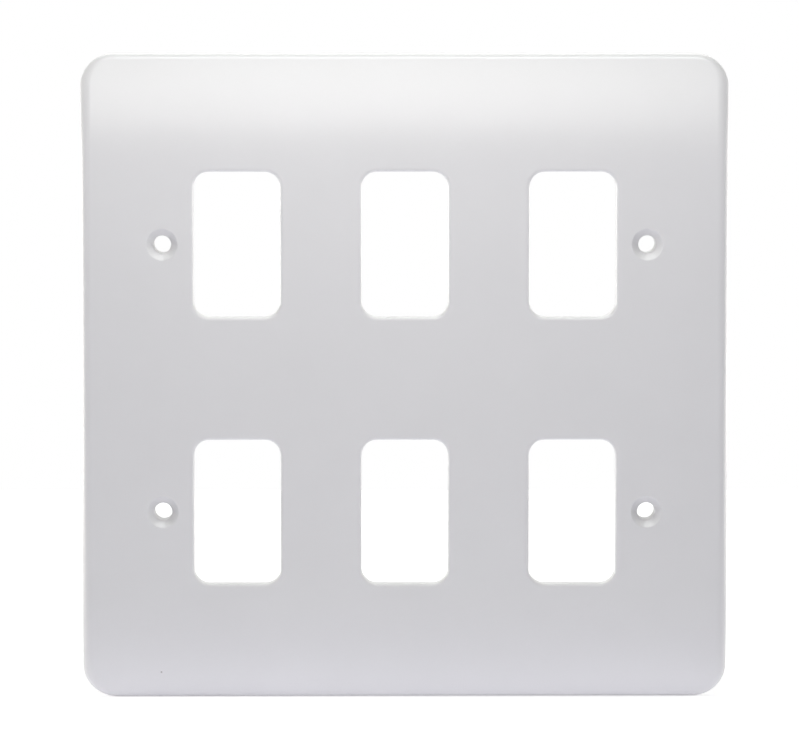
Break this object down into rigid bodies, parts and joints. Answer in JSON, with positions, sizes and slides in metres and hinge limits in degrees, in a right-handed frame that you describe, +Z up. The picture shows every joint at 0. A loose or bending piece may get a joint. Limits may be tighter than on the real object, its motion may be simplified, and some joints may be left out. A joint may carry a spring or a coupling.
{
  "type": "grid switch plate",
  "caption": "Square moulded plastic front plate for a grid switch, with rounded module openings in rows, countersunk fixing holes and a ribbed hollow back.",
  "frame": {"origin": "centre of the plate on the wall plane, at the back of its skirt", "axes": "+Y into the wall, so the face looks along -Y; +Z up; +X to the right of someone facing the plate"},
  "size_m": [0.146, 0.01, 0.146],
  "materials": {
    "white_moulding": "white urea moulding with a polished face"
  },
  "bodies": {
    "root": {"front_plate": "white_moulding"}
  },
  "joints": []
}
